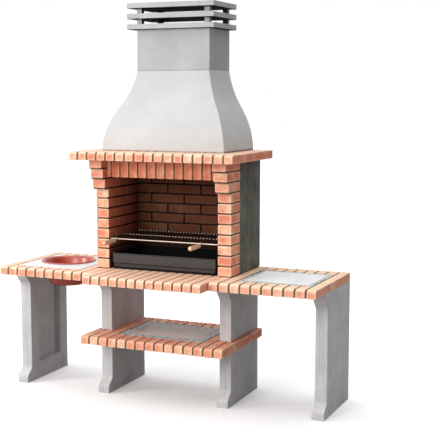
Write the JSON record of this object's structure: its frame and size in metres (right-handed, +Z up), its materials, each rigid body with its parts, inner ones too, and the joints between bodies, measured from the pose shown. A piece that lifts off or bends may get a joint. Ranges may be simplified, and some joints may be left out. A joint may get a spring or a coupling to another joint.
{
  "type": "outdoor masonry barbecue",
  "caption": "Brick-faced masonry barbecue with hearth, two worktops, sink basin, lower shelf, smoke hood, chimney, sliding grill and sliding coal tray.",
  "frame": {"origin": "on the ground, in the middle of the footprint", "axes": "+X to the right seen from the front, +Y to the back, +Z up"},
  "size_m": [1.966, 0.722, 2.28],
  "materials": {
    "brick": "rough cast brick facing, salmon to buff",
    "concrete": "smooth cast concrete",
    "dark_concrete": "dark grey-green cast concrete",
    "pale_render": "pale fine render",
    "stone_panel": "smooth pale speckled stone",
    "mosaic": "grey-green stone mosaic",
    "terracotta": "glossy red glaze",
    "enamel": "dark grey enamelled sheet steel",
    "chrome": "bright chromed rod",
    "wood": "varnished light wood"
  },
  "bodies": {
    "masonry": {"left_outer_leg": "concrete", "right_outer_leg": "concrete", "left_inner_leg_lower": "concrete", "right_inner_leg_lower": "concrete", "left_inner_leg_upper": "concrete", "right_inner_leg_upper": "concrete", "lower_shelf_slab": "brick", "hearth_slab": "brick", "left_worktop_slab": "brick", "right_worktop_slab": "brick", "left_brick_wall": "brick", "right_brick_wall": "brick", "back_brick_wall": "brick", "left_corbel": "brick", "right_corbel": "brick", "lintel": "brick", "mantel_slab": "brick", "left_side_panel": "dark_concrete", "right_side_panel": "dark_concrete", "back_panel": "dark_concrete", "smoke_hood": "pale_render", "chimney_block": "pale_render", "lower_cap_ring": "pale_render", "upper_cap_ring": "pale_render", "cap_lid": "pale_render", "lower_cap_post_front_left": "pale_render", "lower_cap_post_front_right": "pale_render", "lower_cap_post_back_left": "pale_render", "lower_cap_post_back_right": "pale_render", "upper_cap_post_front_left": "pale_render", "upper_cap_post_front_right": "pale_render", "upper_cap_post_back_left": "pale_render", "upper_cap_post_back_right": "pale_render", "lower_shelf_panel": "stone_panel", "left_worktop_panel": "stone_panel", "right_worktop_panel": "stone_panel", "lower_shelf_mosaic_band": "mosaic", "right_worktop_mosaic_band": "mosaic", "sink_basin": "terracotta", "sink_strainer": "chrome"},
    "grill": {"grill_rack": "chrome", "left_handle_stem": "chrome", "left_handle_ferrule": "chrome", "left_handle_grip": "wood", "right_handle_stem": "chrome", "right_handle_ferrule": "chrome", "right_handle_grip": "wood"},
    "coal_tray": {"coal_tray": "enamel"}
  },
  "joints": [
    {"name": "grill_slide", "type": "slide", "parent": "masonry", "child": "grill", "axis": [0, -1, 0], "range_m": [0, 0.32]},
    {"name": "coal_tray_slide", "type": "slide", "parent": "masonry", "child": "coal_tray", "axis": [0, -1, 0], "range_m": [0, 0.35]}
  ]
}
